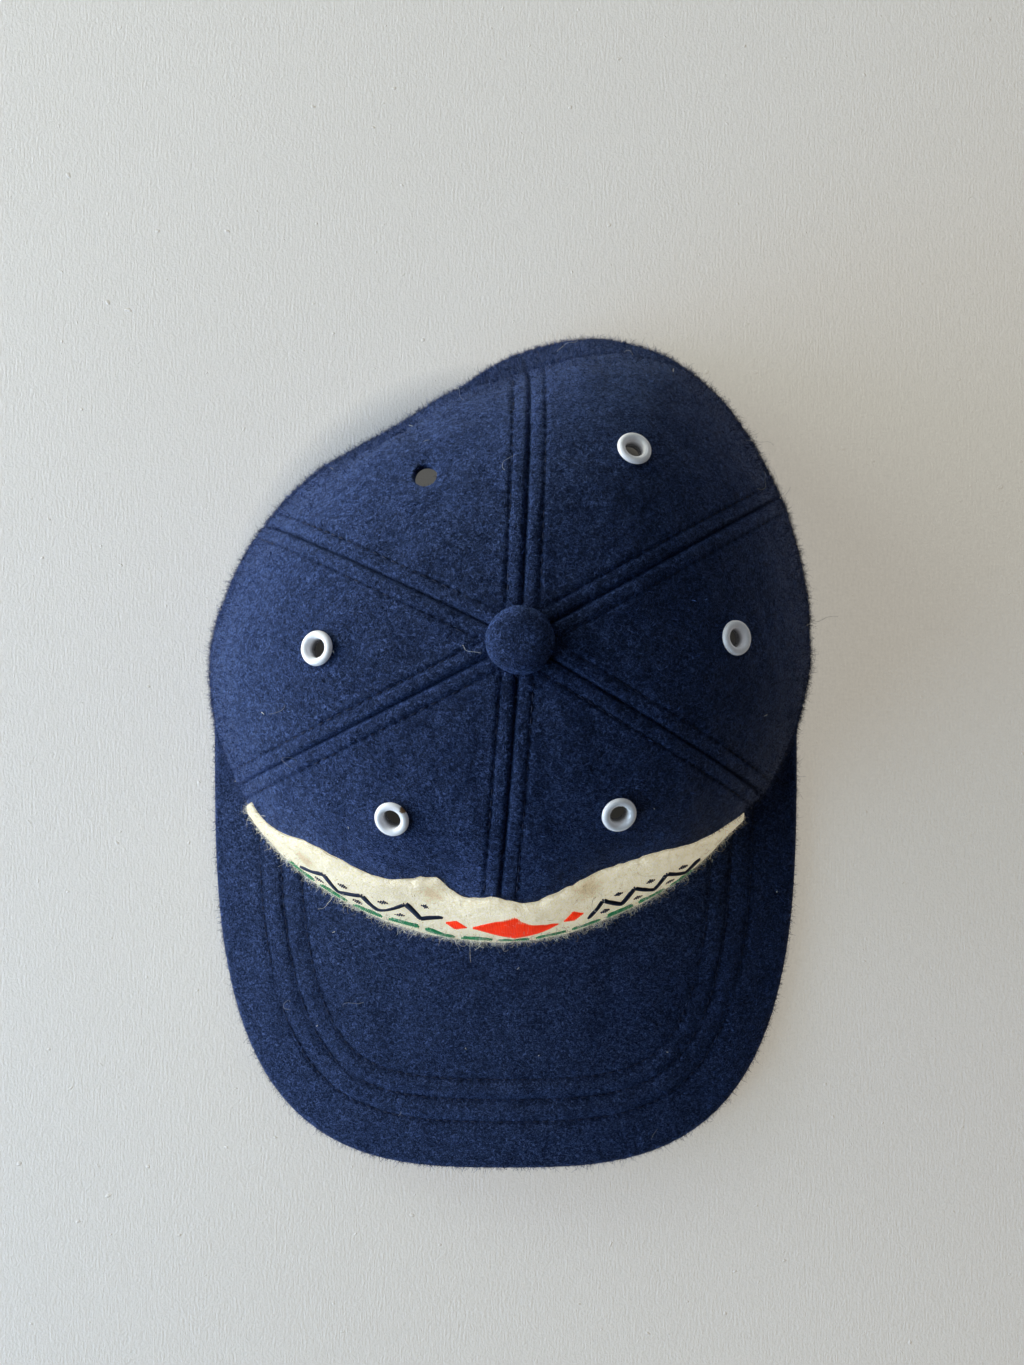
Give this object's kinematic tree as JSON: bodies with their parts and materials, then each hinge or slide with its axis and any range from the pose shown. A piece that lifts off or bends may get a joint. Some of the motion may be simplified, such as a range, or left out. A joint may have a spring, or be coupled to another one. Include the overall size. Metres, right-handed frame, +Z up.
{
  "type": "wool baseball cap",
  "caption": "Soft panelled wool cap with a curved brim, covered top button, metal vent eyelets and a felt front panel, lying on its hem and brim.",
  "frame": {"origin": "under the middle of the cap's box, on the surface it lies on", "axes": "+Z up, the brim points towards -Y, +X to the right as seen from the brim's side"},
  "size_m": [0.1886, 0.264, 0.1125],
  "materials": {
    "navy_wool": "napped navy wool cloth",
    "cream_felt": "napped cream wool felt with stitched motifs",
    "white_enamel": "satin white enamel",
    "navy_cotton": "plain cotton twill"
  },
  "bodies": {
    "root": {"crown_front_left": "navy_wool", "crown_front_right": "navy_wool", "crown_side_left": "navy_wool", "crown_side_right": "navy_wool", "crown_rear_left": "navy_wool", "crown_rear_right": "navy_wool", "front_felt_panel": "cream_felt", "brim_top_cloth": "navy_wool", "brim_under_cloth": "navy_wool", "button": "navy_wool", "eyelet_front_left": "white_enamel", "eyelet_front_right": "white_enamel", "eyelet_side_left": "white_enamel", "eyelet_side_right": "white_enamel", "eyelet_rear_right": "white_enamel", "sweatband": "navy_cotton"}
  },
  "joints": []
}
